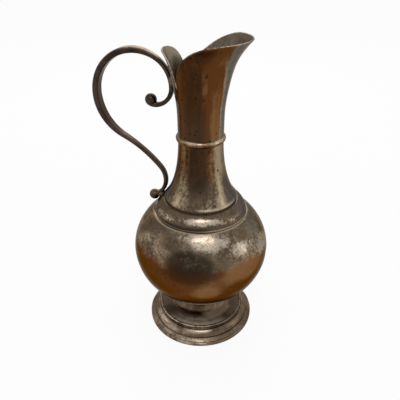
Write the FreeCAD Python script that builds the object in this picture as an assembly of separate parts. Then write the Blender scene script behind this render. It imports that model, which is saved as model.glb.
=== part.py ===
import FreeCAD, Part
import cmath
import math
import os

V = FreeCAD.Vector

# A pewter ewer. The axis of the vessel is Z, the table is z = 0, the pouring
# lip points along +X and the handle along -X. All sizes are in millimetres.

# Foot: a stepped moulding, a dished plate and a coved stem, hollow below
foot_radius = 47.0
foot_rim_height = 3.4
foot_rim_round = 1.3
foot_groove_radius = 42.8
foot_groove_height = 5.2
foot_moulding_radius = 39.4
foot_moulding_height = 12.0
foot_moulding_bulge = 1.4
foot_lip_radius = 38.1
foot_lip_height = 14.7
foot_lip_width = 1.9
foot_plate_radius = 26.4
foot_plate_drop = 0.9
foot_wall = 2.0

# Stem between the foot's plate and the bowl
stem_radius = 18.2
stem_height = 16.6
stem_top_radius = 20.0
stem_bead_height = 11.0
stem_bead_radius = 0.8
stem_solder_reach = 2.4
stem_solder_hollow = 0.3

# Bowl: two half shells that meet at the belly
bowl_radius = 56.7
bowl_depth = 51.2
bowl_rise = 48.4
bowl_wall = 1.6

# Shoulder band, set a little way in from the edge of the upper bowl
band_radius = 37.8
band_ledge = 1.1
band_top_radius = 30.2
band_height = 10.8
band_bulge = 1.65
band_wall = 2.2

# Neck, with a small step under its flared lower lip
neck_lip_radius = 29.4
neck_lip_edge = 0.9
neck_step_height = 1.9
neck_step_inset = 0.9
neck_throat_radius = 17.5
neck_height = 51.8
neck_flare_angle = 47.0
neck_flare_pull = 16.9
neck_throat_pull = 2.0
neck_wall = 1.6

# Half-round ring over the joint of neck and mouth
ring_radius = 19.1
ring_height = 4.6

# Mouth: heights above the joint, and the radius of the flare at each
mouth_height = 71.8
mouth_foot_height = 12.0
mouth_foot_radius = 17.5
mouth_waist_height = 22.7
mouth_waist_radius = 17.9
mouth_low_height = 38.0
mouth_low_radius = 20.0
mouth_mid_height = 50.2
mouth_mid_radius = 22.5
mouth_high_height = 60.4
mouth_high_radius = 26.3
mouth_rim_radius = 34.4
mouth_wall = 1.3
mouth_section_points = 24

# Pull of the rim out of the round: towards the lip, sideways, and at its tip
lip_pull = 1.7
lip_oval = 0.95
lip_point = 0.55

# Rim as seen from the side: pouring lip, shoulders, dips and back tab
rim_flat_reach = 23.6
rim_side_drop = 6.1
rim_shoulder_reach = 10.7
rim_shoulder_drop = 17.4
dip_reach = 13.4
dip_drop = 33.3
tab_shoulder_reach = 18.6
tab_shoulder_drop = 18.0
tab_corner_reach = 25.7
tab_corner_drop = 8.9
tab_end_reach = 30.0
tab_drop = 7.2

# Handle: a scroll of tangent arcs, drawn both ways from its outermost point
scroll_side_radius = 34.8
scroll_side_angle = 53.5
scroll_top_radius = 32.1
scroll_top_angle = 63.2
scroll_fall_radius = 25.2
scroll_fall_angle = 62.7
scroll_curl_radius = 14.1
scroll_curl_angle = 71.5
scroll_roll_radius = 8.8
scroll_roll_angle = 60.0
scroll_under_radius = 37.6
scroll_under_angle = 61.9
scroll_sweep_radius = 105.4
scroll_sweep_angle = 21.2
scroll_foot_radius = 17.6
scroll_foot_angle = 89.6
scroll_tip_radius = 12.0
scroll_tip_angle = 26.0

# Oval section of the handle: full at the grip, slender towards both ends, and
# swelling again into the balls
grip_thickness = 4.7
grip_width = 9.5
grip_above = 40.0
grip_below = 5.0
taper_above = 40.0
taper_below = 55.0
strap_thickness = 3.2
strap_width = 5.0
tip_thickness = 4.6
tip_width = 6.4
tip_length = 9.0
upper_ball_radius = 4.5
upper_ball_lift = 1.9
lower_ball_radius = 4.3
section_spacing = 9.0
section_angle = 20.0

# Seats of the handle, and the solder that fills them
upper_seat_height = 40.6
lower_seat_share = 0.7
solder_gap = 0.45
upper_solder_radius = 4.2
lower_solder_radius = 3.2

# Heights that follow from the sizes above
plate_height = foot_lip_height - foot_plate_drop
seat_height = plate_height + stem_height
belly_height = seat_height + bowl_depth * math.sqrt(1 - (stem_top_radius / bowl_radius) ** 2)
band_edge = band_radius + band_ledge
shoulder_height = belly_height + bowl_rise * math.sqrt(1 - (band_edge / bowl_radius) ** 2)
band_top = shoulder_height + band_height
joint_height = band_top + neck_height
rim_height = joint_height + mouth_height
far_out = 4 * bowl_radius


def at(radius, height):
    """A point of a turned outline."""
    return V(radius, 0, height)


def line(start, end):
    return Part.LineSegment(start, end).toShape()


def polyline(*points):
    return [line(start, end) for start, end in zip(points, points[1:])]


def bulge_middle(start, end, bulge):
    """The middle of the arc from start to end that bulges to the left of that way."""
    along = end.sub(start)
    left = V(-along.z, 0, along.x).normalize()
    return start.add(end).multiply(0.5).add(left.multiply(bulge))


def bulged(start, end, bulge):
    return Part.Arc(start, bulge_middle(start, end, bulge), end).toShape()


def quarter_ellipse(across, up, height):
    """A quarter of an ellipse from the belly to the axis, above it or below."""
    curve = Part.BezierCurve()
    curve.setPoles([at(across, height), at(across, height + up), at(0, height + up)])
    curve.setWeight(2, math.sqrt(0.5))
    return curve.toShape()


def smooth(points):
    """A smooth curve through the points."""
    curve = Part.BSplineCurve()
    curve.interpolate(points)
    return curve.toShape()


def turned(edges):
    """The solid that a closed outline makes when turned about the axis."""
    return Part.Face(Part.Wire(edges)).revolve(V(0, 0, 0), V(0, 0, 1), 360)


def foot_outside():
    """Outline of the foot's upper side, from the table to the top of the stem."""
    rim_top = at(foot_radius - foot_rim_round, foot_rim_height)
    rim_side = at(foot_radius, foot_rim_height - foot_rim_round)
    rim_middle = at(foot_radius - foot_rim_round * (1 - math.sqrt(0.5)),
                    foot_rim_height - foot_rim_round * (1 - math.sqrt(0.5)))
    groove = at(foot_groove_radius, foot_groove_height)
    moulding = at(foot_moulding_radius, foot_moulding_height)
    lip_outer = at(foot_lip_radius, foot_lip_height - foot_lip_width / 2)
    lip_inner = at(foot_lip_radius - foot_lip_width, foot_lip_height - foot_lip_width / 2)
    lip_low = at(foot_lip_radius, foot_moulding_height)
    plate_edge = at(foot_plate_radius, plate_height)
    edges = polyline(at(foot_radius, 0), rim_side)
    edges.append(Part.Arc(rim_side, rim_middle, rim_top).toShape())
    edges.append(line(rim_top, groove))
    edges.append(bulged(groove, moulding, -foot_moulding_bulge))
    edges += polyline(moulding, lip_low, lip_outer)
    edges.append(bulged(lip_outer, lip_inner, -foot_lip_width / 2))
    edges.append(line(lip_inner, plate_edge))
    return edges + stem_outside(plate_edge)


def stem_outside(plate_edge):
    """Cove from the plate to the stem, then its bead and the collar above."""
    cove = foot_plate_radius - stem_radius
    cove_middle = at(foot_plate_radius - cove * math.sqrt(0.5),
                     plate_height + cove * (1 - math.sqrt(0.5)))
    waist = at(stem_radius, plate_height + cove)
    bead_height = plate_height + stem_bead_height
    bead_low = at(stem_top_radius, bead_height - stem_bead_radius)
    bead_out = at(stem_top_radius + stem_bead_radius, bead_height)
    bead_top = at(stem_top_radius, bead_height + stem_bead_radius)
    edges = [Part.Arc(plate_edge, cove_middle, waist).toShape()]
    edges.append(line(waist, bead_low))
    edges.append(Part.Arc(bead_low, bead_out, bead_top).toShape())
    edges.append(line(bead_top, at(stem_top_radius, seat_height + bowl_wall)))
    return edges


def foot():
    """The hollow foot, cut at the top to seat the bowl."""
    bore = stem_radius - foot_wall
    under_plate = plate_height - foot_wall
    cove = foot_plate_radius - stem_radius
    cove_start = at(foot_plate_radius - foot_wall, under_plate)
    cove_end = at(bore, under_plate + cove)
    edges = foot_outside()
    edges += polyline(at(stem_top_radius, seat_height + bowl_wall),
                      at(bore, seat_height + bowl_wall),
                      cove_end)
    edges.append(Part.Arc(cove_end,
                          at(bore + cove * (1 - math.sqrt(0.5)),
                             under_plate + cove * (1 - math.sqrt(0.5))),
                          cove_start).toShape())
    edges += polyline(cove_start,
                      at(foot_lip_radius - foot_lip_width - foot_wall, under_plate),
                      at(foot_moulding_radius - foot_wall, foot_moulding_height - foot_wall),
                      at(foot_groove_radius - foot_wall, foot_groove_height - foot_wall),
                      at(foot_radius - foot_wall, foot_rim_height - foot_wall),
                      at(foot_radius - foot_wall, 0),
                      at(foot_radius, 0))
    return turned(edges).cut(bowl_block())


def bowl_block():
    """The bowl as a full solid of revolution."""
    edges = [quarter_ellipse(bowl_radius, -bowl_depth, belly_height)]
    edges.append(line(at(0, belly_height - bowl_depth), at(0, belly_height + bowl_rise)))
    edges.append(quarter_ellipse(bowl_radius, bowl_rise, belly_height))
    return turned(edges)


def half_bowl(up):
    """Half of the bowl's wall, from the belly to the axis."""
    inner_radius = bowl_radius - bowl_wall
    inner_up = up - math.copysign(bowl_wall, up)
    edges = [quarter_ellipse(bowl_radius, up, belly_height)]
    edges.append(line(at(0, belly_height + up), at(0, belly_height + inner_up)))
    edges.append(quarter_ellipse(inner_radius, inner_up, belly_height))
    edges.append(line(at(inner_radius, belly_height), at(bowl_radius, belly_height)))
    return turned(edges)


def lower_bowl():
    return half_bowl(-bowl_depth)


def upper_bowl():
    """The upper half shell, cut off level where the shoulder band stands."""
    above = Part.makeCylinder(bowl_radius, bowl_rise, V(0, 0, shoulder_height))
    return half_bowl(bowl_rise).cut(above)


def foot_solder():
    """Bead of solder in the corner between the stem and the bowl."""
    low = at(stem_top_radius, seat_height - stem_solder_reach)
    wide = at(stem_top_radius + stem_solder_reach, seat_height + stem_solder_reach)
    edges = [bulged(low, wide, stem_solder_hollow)]
    edges += polyline(wide, at(stem_top_radius, seat_height + stem_solder_reach), low)
    return turned(edges).cut(bowl_block())


def band_outside():
    """Outline of the convex band, from its lower edge up."""
    low = at(band_radius, shoulder_height)
    top = at(band_top_radius, band_top)
    return low, bulge_middle(low, top, -band_bulge), top


def shoulder_band():
    low, middle, top = band_outside()
    bore_low = at(low.x - band_wall, low.z)
    bore_middle = at(middle.x - band_wall, middle.z - band_wall / 2)
    bore_top = at(neck_bore_radius(), top.z)
    edges = [Part.Arc(low, middle, top).toShape()]
    edges.append(line(top, bore_top))
    edges.append(Part.Arc(bore_top, bore_middle, bore_low).toShape())
    edges.append(line(bore_low, low))
    return turned(edges)


def neck_bore_radius():
    """Radius of the opening under the neck's lower end."""
    return neck_lip_radius - neck_step_inset - neck_wall


def neck_curve(lip, throat, low, high):
    """Concave curve that leaves the flared lip at an angle and ends straight up."""
    slant = math.radians(neck_flare_angle)
    curve = Part.BezierCurve()
    curve.setPoles([at(lip, low),
                    at(lip - neck_flare_pull * math.cos(slant), low + neck_flare_pull * math.sin(slant)),
                    at(throat, high - neck_throat_pull),
                    at(throat, high)])
    return curve.toShape()


def neck():
    """Neck with its lip edge and step below and a straight land for the ring."""
    step_radius = neck_lip_radius - neck_step_inset
    lip_low = band_top + neck_step_height
    lip_top = lip_low + neck_lip_edge
    land = joint_height - ring_height
    bore = neck_throat_radius - neck_wall
    edges = polyline(at(neck_bore_radius(), lip_low),
                     at(neck_bore_radius(), band_top),
                     at(step_radius, band_top),
                     at(step_radius, lip_low),
                     at(neck_lip_radius, lip_low),
                     at(neck_lip_radius, lip_top))
    edges.append(neck_curve(neck_lip_radius, neck_throat_radius, lip_top, land))
    edges += polyline(at(neck_throat_radius, land),
                      at(neck_throat_radius, joint_height),
                      at(bore, joint_height),
                      at(bore, land))
    edges.append(neck_curve(neck_bore_radius(), bore, lip_low, land))
    return turned(edges)


def neck_ring():
    """Half-round ring, centred on the joint."""
    half = ring_height / 2
    low = at(neck_throat_radius, joint_height - half)
    high = at(neck_throat_radius, joint_height + half)
    edges = [Part.Arc(low, at(ring_radius, joint_height), high).toShape()]
    edges.append(line(high, low))
    return turned(edges)


def mouth_sections():
    """Height above the joint and mean radius of each section of the flare."""
    top = mouth_height + mouth_wall
    slope = (mouth_rim_radius - mouth_high_radius) / (mouth_height - mouth_high_height)
    return ((ring_height / 2, neck_throat_radius),
            (mouth_foot_height, mouth_foot_radius),
            (mouth_waist_height, mouth_waist_radius),
            (mouth_low_height, mouth_low_radius),
            (mouth_mid_height, mouth_mid_radius),
            (mouth_high_height, mouth_high_radius),
            (top, mouth_rim_radius + slope * (top - mouth_height)))


def mouth_radius(height, mean, angle):
    """Outer radius of the mouth; angle 0 is the lip and 180 degrees the back."""
    rise = max(0.0, height - mouth_waist_height) / (mouth_height - mouth_waist_height)
    pull = lip_pull * math.cos(angle) + lip_oval * math.cos(2 * angle)
    return mean + rise ** 2 * (pull - lip_point * math.cos(3 * angle))


def mouth_ring(height, mean, inset):
    """Closed smooth section of the mouth, drawn in from its outside by inset."""
    points = []
    for step in range(mouth_section_points):
        angle = 2 * math.pi * step / mouth_section_points
        radius = mouth_radius(height, mean, angle) - inset
        points.append(V(radius * math.cos(angle), radius * math.sin(angle), joint_height + height))
    curve = Part.BSplineCurve()
    curve.interpolate(points, PeriodicFlag=True)
    return Part.Wire([curve.toShape()])


def mouth_block(inset):
    """The mouth as a full solid: a straight land inside the ring, then the flare."""
    flare = [mouth_ring(height, mean, inset) for height, mean in mouth_sections()]
    joint = mouth_ring(0, neck_throat_radius, inset)
    land = Part.makeLoft([joint, flare[0]], True, True)
    return land.fuse(Part.makeLoft(flare, True))


def rim_waste():
    """What is cut away above the rim, as drawn from the side."""
    dip = at(-dip_reach, rim_height - dip_drop)
    lip_rim = smooth([at(far_out, rim_height),
                      at(rim_flat_reach, rim_height),
                      at(0, rim_height - rim_side_drop),
                      at(-rim_shoulder_reach, rim_height - rim_shoulder_drop),
                      dip])
    tab_rim = smooth([dip,
                      at(-tab_shoulder_reach, rim_height - tab_shoulder_drop),
                      at(-tab_corner_reach, rim_height - tab_corner_drop),
                      at(-tab_end_reach, rim_height - tab_drop)])
    edges = [lip_rim, tab_rim]
    edges += polyline(at(-tab_end_reach, rim_height - tab_drop),
                      at(-far_out, rim_height - tab_drop),
                      at(-far_out, rim_height + far_out),
                      at(far_out, rim_height + far_out),
                      at(far_out, rim_height))
    outline = Part.Face(Part.Wire(edges))
    outline.translate(V(0, -far_out, 0))
    return outline.extrude(V(0, 2 * far_out, 0))


def mouth():
    """The flared wall, open above and below, with its rim cut to shape."""
    return mouth_block(0).cut(mouth_block(mouth_wall)).cut(rim_waste())


def scroll_arcs():
    """Radius and turn in degrees of the arcs above and below the outermost point."""
    above = ((scroll_side_radius, -scroll_side_angle),
             (scroll_top_radius, -scroll_top_angle),
             (scroll_fall_radius, -scroll_fall_angle),
             (scroll_curl_radius, -scroll_curl_angle),
             (scroll_roll_radius, -scroll_roll_angle))
    below = ((scroll_under_radius, scroll_under_angle),
             (scroll_sweep_radius, -scroll_sweep_angle),
             (scroll_foot_radius, -scroll_foot_angle),
             (scroll_tip_radius, -scroll_tip_angle))
    return above, below


def along_arc(point, heading, radius, turn):
    """Where an arc ends; points are complex numbers x + iz, headings are in radians."""
    bend = math.radians(turn)
    curvature = math.copysign(1 / radius, bend)
    chord = (cmath.exp(1j * (heading + bend)) - cmath.exp(1j * heading)) / (1j * curvature)
    return point + chord, heading + bend


def scroll_stations(heading, arcs):
    """Distance, point and heading of each section along a chain of arcs."""
    run = 0.0
    point = 0j
    stations = [(run, point, heading)]
    for radius, turn in arcs:
        length = radius * math.radians(abs(turn))
        count = math.ceil(max(length / section_spacing, abs(turn) / section_angle))
        for _ in range(count):
            point, heading = along_arc(point, heading, radius, turn / count)
            run += length / count
            stations.append((run, point, heading))
    return stations


def scroll_touch(heading, arcs, wanted):
    """The point of a chain of arcs where it runs in the wanted direction."""
    point = 0j
    for radius, turn in arcs:
        left_over = math.degrees(wanted - heading)
        if left_over * turn >= 0 and abs(left_over) <= abs(turn):
            return along_arc(point, heading, radius, left_over)[0]
        point, heading = along_arc(point, heading, radius, turn)
    raise ValueError("the scroll never runs in that direction")


def upper_seat():
    """Middle of the handle's section at the back of the mouth, and its direction there."""
    sections = mouth_sections()
    pairs = [(low, high) for low, high in zip(sections, sections[1:])
             if low[0] <= upper_seat_height <= high[0]]
    (low_height, low_mean), (high_height, high_mean) = pairs[0]
    slope = (high_mean - low_mean) / (high_height - low_height)
    mean = low_mean + slope * (upper_seat_height - low_height)
    reach = mouth_radius(upper_seat_height, mean, math.pi) + solder_gap + strap_thickness / 2
    return complex(-reach, joint_height + upper_seat_height), math.atan(slope) - math.pi / 2


def lower_seat():
    """Middle of the handle's section on the shoulder band, and its direction there."""
    low, middle, top = (complex(corner.x, corner.z) for corner in band_outside())
    outward = (middle - (low + top) / 2) / band_bulge
    radius = (abs(top - low) ** 2 / 4 + band_bulge ** 2) / (2 * band_bulge)
    half_angle = math.asin(abs(top - low) / 2 / radius)
    normal = outward * cmath.exp(1j * half_angle * (2 * lower_seat_share - 1))
    seat = middle - radius * outward + (radius + solder_gap + strap_thickness / 2) * normal
    return complex(-seat.real, seat.imag), -cmath.phase(normal) - math.pi / 2


def eased(share):
    """A share, kept between 0 and 1 and eased in and out."""
    share = min(1.0, max(0.0, share))
    return share * share * (3 - 2 * share)


def strap_size(run, end, full, taper):
    """Thickness and width of the handle at a distance from its outermost point."""
    grip = eased((full + taper - run) / taper)
    tip = eased((run + tip_length - end) / tip_length)
    thick = (strap_thickness + (grip_thickness - strap_thickness) * grip
             + (tip_thickness - strap_thickness) * tip)
    wide = strap_width + (grip_width - strap_width) * grip + (tip_width - strap_width) * tip
    return thick, wide


def strap_section(point, heading, size):
    """Oval section of the handle, square to its path."""
    thick, wide = size
    middle = V(point.real, 0, point.imag)
    out = V(-math.sin(heading), 0, math.cos(heading)).multiply(thick / 2)
    flat = V(0, (wide - thick) / 2, 0)
    end = V(0, wide / 2, 0)
    corners = (middle + out + flat, middle + out - flat, middle - out - flat, middle - out + flat)
    return Part.Wire([line(corners[0], corners[1]),
                      Part.Arc(corners[1], middle - end, corners[2]).toShape(),
                      line(corners[2], corners[3]),
                      Part.Arc(corners[3], middle + end, corners[0]).toShape()])


def seated_scroll():
    """Sections of the scroll from its upper to its lower end, fitted to both seats."""
    above, below = scroll_arcs()
    upper, upper_heading = upper_seat()
    lower, lower_heading = lower_seat()
    upper_touch = scroll_touch(math.pi / 2, above, upper_heading)
    lower_touch = scroll_touch(-math.pi / 2, below, lower_heading)
    fit = (lower - upper) / (lower_touch - upper_touch)
    sections = []
    stations = scroll_stations(math.pi / 2, above)
    for run, point, heading in reversed(stations):
        size = strap_size(run, stations[-1][0], grip_above, taper_above)
        sections.append((upper + fit * (point - upper_touch), heading + math.pi, size))
    stations = scroll_stations(-math.pi / 2, below)
    for run, point, heading in stations[1:]:
        size = strap_size(run, stations[-1][0], grip_below, taper_below)
        sections.append((upper + fit * (point - upper_touch), heading, size))
    turn = cmath.phase(fit)
    return [(point, heading + turn, size) for point, heading, size in sections]


def handle():
    """The cast scroll with a ball at each end."""
    sections = seated_scroll()
    strap = Part.makeLoft([strap_section(*section) for section in sections], True)
    upper_end, upper_heading, _ = sections[0]
    lower_end, _, _ = sections[-1]
    upper_ball = upper_end + upper_ball_lift * cmath.exp(1j * (upper_heading + math.pi / 2))
    balls = [Part.makeSphere(upper_ball_radius, V(upper_ball.real, 0, upper_ball.imag)),
             Part.makeSphere(lower_ball_radius, V(lower_end.real, 0, lower_end.imag))]
    return strap.fuse(balls)


def solder(seat, heading, radius, neighbours):
    """A round pad of solder between the handle and the vessel, cut to fit both."""
    depth = strap_thickness + 2 * solder_gap
    inward = V(-math.sin(heading), 0, math.cos(heading))
    pad = Part.makeCylinder(radius, depth, V(seat.real, 0, seat.imag), inward)
    for neighbour in neighbours:
        pad = pad.cut(neighbour)
    return pad


def upper_handle_solder():
    return solder(*upper_seat(), upper_solder_radius, (handle(), mouth_block(0)))


def lower_handle_solder():
    return solder(*lower_seat(), lower_solder_radius, (handle(), shoulder_band(), neck()))


def main():
    os.makedirs("parts", exist_ok=True)
    pieces = (foot, foot_solder, lower_bowl, upper_bowl, shoulder_band, neck, neck_ring, mouth,
              handle, upper_handle_solder, lower_handle_solder)
    for piece in pieces:
        shape = piece()
        print(piece.__name__, len(shape.Solids), shape.isValid(), round(shape.Volume, 1))
        shape.exportStep("parts/" + piece.__name__ + ".step")


main()
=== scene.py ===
import cmath
import functools
import math

import bmesh
import bpy
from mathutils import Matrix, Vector


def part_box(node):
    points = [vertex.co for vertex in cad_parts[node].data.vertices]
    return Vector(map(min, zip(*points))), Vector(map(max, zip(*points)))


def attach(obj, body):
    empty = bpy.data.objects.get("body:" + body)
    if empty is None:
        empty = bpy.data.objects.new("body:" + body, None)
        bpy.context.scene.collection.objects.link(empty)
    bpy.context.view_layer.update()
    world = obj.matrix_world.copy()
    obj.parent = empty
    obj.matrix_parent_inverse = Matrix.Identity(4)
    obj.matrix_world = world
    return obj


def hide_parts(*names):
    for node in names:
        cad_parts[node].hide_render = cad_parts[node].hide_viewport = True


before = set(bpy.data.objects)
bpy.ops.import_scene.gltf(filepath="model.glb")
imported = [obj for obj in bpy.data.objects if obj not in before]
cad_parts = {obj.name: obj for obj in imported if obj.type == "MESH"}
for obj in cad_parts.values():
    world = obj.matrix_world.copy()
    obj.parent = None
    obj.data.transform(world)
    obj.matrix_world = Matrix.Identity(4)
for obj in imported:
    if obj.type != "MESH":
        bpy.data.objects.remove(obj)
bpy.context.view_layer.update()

bl_info = {
    "name": "Pewter Pitcher",
    "version": (1, 0, 0),
    "blender": (4, 5, 0),
    "location": "3D View > Sidebar > Pitcher",
    "description": "Makes a tarnished pewter ewer and the plain stage that it stands on",
    "category": "Add Mesh",
}

MM = 0.001
TOUCH = 0.001 * MM
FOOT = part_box("foot")
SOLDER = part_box("foot_solder")
LOWER_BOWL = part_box("lower_bowl")
UPPER_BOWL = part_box("upper_bowl")
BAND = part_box("shoulder_band")
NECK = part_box("neck")
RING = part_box("neck_ring")
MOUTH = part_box("mouth")


# Settings

def length(name, millimetres, description):
    return bpy.props.FloatProperty(name=name, description=description, default=millimetres * MM,
                                   min=0.0, precision=5, unit="LENGTH")


def turn(name, degrees, description):
    return bpy.props.FloatProperty(name=name, description=description, default=math.radians(degrees),
                                   unit="ROTATION")


def colour(name, value, description):
    return bpy.props.FloatVectorProperty(name=name, description=description, default=value, size=3,
                                         min=0.0, max=1.0, subtype="COLOR")


class PitcherFoot(bpy.types.PropertyGroup):
    rim_height: length("Rim height", 3.4, "Height of the round rim on the table")
    groove_radius: length("Groove radius", 42.8, "Radius of the groove above the rim")
    groove_height: length("Groove height", 5.2, "Height of the groove above the rim")
    moulding_radius: length("Moulding radius", 39.4, "Radius at the top of the moulding")
    moulding_height: length("Moulding height", 12.0, "Height of the top of the moulding")
    moulding_bulge: length("Moulding bulge", 1.4, "How far the moulding stands out")
    lip_radius: length("Lip radius", 38.1, "Outer radius of the lip round the plate")
    lip_height: length("Lip height", 14.7, "Height of the lip round the plate")
    lip_width: length("Lip width", 1.9, "Width of the lip round the plate")
    plate_radius: length("Plate radius", 26.4, "Radius where the plate turns up to the stem")
    plate_drop: length("Plate drop", 0.9, "How far the plate lies below its lip")
    stem_radius: length("Stem radius", 18.2, "Radius of the stem at its waist")
    collar: length("Collar", 1.8, "How far the collar under the bowl stands out from the stem")
    bead_radius: length("Bead radius", 0.8, "Radius of the bead round the stem")
    bead_height: length("Bead height", 24.8, "Height of the bead round the stem")
    wall: length("Wall", 2.0, "Thickness of the foot's wall")
    rounding: length("Rounding", 0.4, "How far the foot's edges are worn round")


class PitcherBody(bpy.types.PropertyGroup):
    bowl_wall: length("Bowl wall", 1.6, "Thickness of the bowl")
    band_bulge: length("Band bulge", 1.65, "How far the shoulder band stands out")
    band_top: length("Band top", 30.2, "Radius of the shoulder band at its top")
    band_wall: length("Band wall", 2.2, "Thickness of the shoulder band")
    band_rounding: length("Band rounding", 0.3, "How far the band's edges are worn round")
    neck_throat: length("Throat radius", 17.5, "Radius of the neck at its top")
    neck_lip: length("Neck lip", 0.9, "Height of the lip's edge at the neck's lower end")
    neck_step: length("Neck step", 1.9, "Height of the dark step under the lip")
    neck_inset: length("Neck inset", 0.9, "How far the step is set in")
    neck_angle: turn("Neck angle", 47.0, "Slant at which the neck leaves its lip")
    neck_pull: length("Neck pull", 16.9, "How far that slant carries")
    neck_wall: length("Neck wall", 1.6, "Thickness of the neck")
    neck_rounding: length("Neck rounding", 0.35, "How far the neck's edges are worn round")
    ring_rounding: length("Ring rounding", 0.2, "How far the ring's edges are worn round")
    dent_depth: length("Dent depth", 0.14, "How far the spun walls wander from the true form")
    dent_size: length("Dent size", 22.0, "Size of the walls' unevenness")


class PitcherMouth(bpy.types.PropertyGroup):
    waist_height: length("Waist height", 22.7, "Height above the joint at which the flare begins")
    wall: length("Wall", 1.3, "Thickness of the mouth's wall")
    rim_height: length("Rim height", 247.92, "Height of the lip above the table")
    rim_radius: length("Rim radius", 34.4, "Mean radius of the flare at the rim")
    lip_pull: length("Lip pull", 1.7, "How far the rim is drawn towards the pouring lip")
    lip_oval: length("Lip oval", 0.95, "How far the rim is drawn out of the round")
    lip_point: length("Lip point", 0.55, "How far the tip of the lip is drawn in")
    dip_reach: length("Dip reach", 13.4, "Distance of the dips behind the axis")
    dip_drop: length("Dip drop", 33.3, "Depth of the dips below the lip")
    tab_drop: length("Tab drop", 7.2, "Height of the lip above the back tab")
    far_sag: length("Far sag", 3.4, "How much lower the rim's far shoulder is than its near one")


class PitcherHandle(bpy.types.PropertyGroup):
    grip_width: length("Grip width", 9.5, "Width of the strap at the grip")
    grip_thickness: length("Grip thickness", 4.7, "Thickness of the strap at the grip")
    end_width: length("End width", 5.0, "Width of the strap at its ends")
    end_thickness: length("End thickness", 3.2, "Thickness of the strap at its ends")
    tip_width: length("Tip width", 6.4, "Width of the strap where it swells into a ball")
    tip_thickness: length("Tip thickness", 4.6, "Thickness of the strap where it swells into a ball")
    fit: bpy.props.FloatProperty(name="Fit", description="Size of the seated scroll against the drawn one",
                                 default=0.98258, min=0.5, max=1.5)
    tilt: turn("Tilt", -0.3685, "Turn of the seated scroll")
    reach: length("Reach", 82.559, "Distance of the scroll's outermost point from the axis")
    height: length("Height", 203.947, "Height of the scroll's outermost point")
    upper_ball: length("Upper ball", 4.5, "Radius of the ball at the upper end")
    lower_ball: length("Lower ball", 4.3, "Radius of the ball at the lower end")
    ball_lift: length("Ball lift", 1.9, "How far the upper ball stands off the strap's end")


# Several of these colours also serve painted light: silver the painted highlights; soot, grime and umber
# painted shade and dark reflections; slate a painted bluish reflection. Brown and bronze are partly tarnish
# and partly a painted reflection of a brown surface below.
class PitcherColours(bpy.types.PropertyGroup):
    silver: colour("Silver", (0.42, 0.354, 0.278), "Bare worn pewter")
    gold: colour("Gold", (0.29, 0.23, 0.15), "Worn pewter with a warm film")
    grey: colour("Grey", (0.130, 0.093, 0.061), "Dull pewter")
    rose: colour("Rose", (0.29, 0.212, 0.148), "Worn pewter with a reddish film")
    steel: colour("Steel", (0.150, 0.136, 0.113), "Cool dull pewter")
    slate: colour("Slate", (0.072, 0.076, 0.078), "Cool grey tarnish")
    soot: colour("Soot", (0.063, 0.0445, 0.029), "Middling tarnish")
    grime: colour("Grime", (0.022, 0.0155, 0.0108), "Dark tarnish")
    pit: colour("Pit", (0.016, 0.010, 0.006), "Bottoms of the pits")
    umber: colour("Umber", (0.032, 0.0140, 0.0055), "Dark brown tarnish")
    brown: colour("Brown", (0.096, 0.0345, 0.0100), "Warm brown tarnish")
    bronze: colour("Bronze", (0.195, 0.095, 0.038), "Lighter bronze tarnish")
    cast: colour("Cast", (0.056, 0.041, 0.031), "Cast metal of the handle")


class PitcherSettings(bpy.types.PropertyGroup):
    foot: bpy.props.PointerProperty(type=PitcherFoot)
    body: bpy.props.PointerProperty(type=PitcherBody)
    mouth: bpy.props.PointerProperty(type=PitcherMouth)
    handle: bpy.props.PointerProperty(type=PitcherHandle)
    colours: bpy.props.PointerProperty(type=PitcherColours)


# Node trees

class Field:
    """A socket of a node tree, so that its sums can be written as Python."""

    def __init__(self, nodes, socket):
        self.nodes = nodes
        self.socket = socket

    def other(self, output):
        """Another output of the same node."""
        return Field(self.nodes, self.socket.node.outputs[output])

    def sum(self, operation, *others):
        """A Math node on this field and others."""
        return self.nodes.node("ShaderNodeMath", {"operation": operation}, dict(enumerate((self, *others))))

    def __add__(self, other):
        return self.sum("ADD", other)

    __radd__ = __add__

    def __sub__(self, other):
        return self.sum("SUBTRACT", other)

    def __rsub__(self, other):
        return self.nodes.node("ShaderNodeMath", {"operation": "SUBTRACT"}, {0: other, 1: self})

    def __mul__(self, other):
        return self.sum("MULTIPLY", other)

    __rmul__ = __mul__

    def step(self, low, high):
        """0 below low, 1 above high and smooth between; the other way round if low is the larger."""
        return self.nodes.node("ShaderNodeMapRange", {"interpolation_type": "SMOOTHSTEP"},
                               {"Value": self, "From Min": low, "From Max": high})

    def within(self, low, low_full, high_full, high):
        """1 from low_full to high_full, and smoothly down to 0 at low and at high."""
        return self.step(low, low_full) * self.step(high, high_full)


class Nodes:
    """A node tree in the making."""

    def __init__(self, tree):
        self.tree = tree

    def node(self, kind, settings=None, inputs=None, output=0):
        """Adds a node, sets it, feeds its sockets and gives one of its outputs."""
        node = self.tree.nodes.new(kind)
        for key, value in (settings or {}).items():
            setattr(node, key, value)
        for key, value in (inputs or {}).items():
            self.feed(node.inputs[key], value)
        return Field(self, node.outputs[output])

    def feed(self, socket, value):
        """Links a field to a socket, or sets the socket to a value; a colour can be given by its name."""
        if isinstance(value, Field):
            self.tree.links.new(value.socket, socket)
        elif socket.type == "RGBA":
            socket.default_value = (*paint(value), 1.0)
        else:
            socket.default_value = value

    def mix(self, factor, first, second):
        """A colour between two others."""
        return self.node("ShaderNodeMix", {"data_type": "RGBA"}, {0: factor, 6: first, 7: second}, output=2)

    def vector(self, operation, *values, output=0):
        """A Vector Math node on some values."""
        return self.node("ShaderNodeVectorMath", {"operation": operation}, dict(enumerate(values)), output)


def paint(value):
    """One of the settings' colours by its name, or a colour given as numbers, as a plain tuple."""
    if isinstance(value, str):
        return tuple(getattr(bpy.context.scene.pitcher.colours, value))
    return value


# Materials: heights, radii and places on a piece are in millimetres, and directions in degrees

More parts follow.
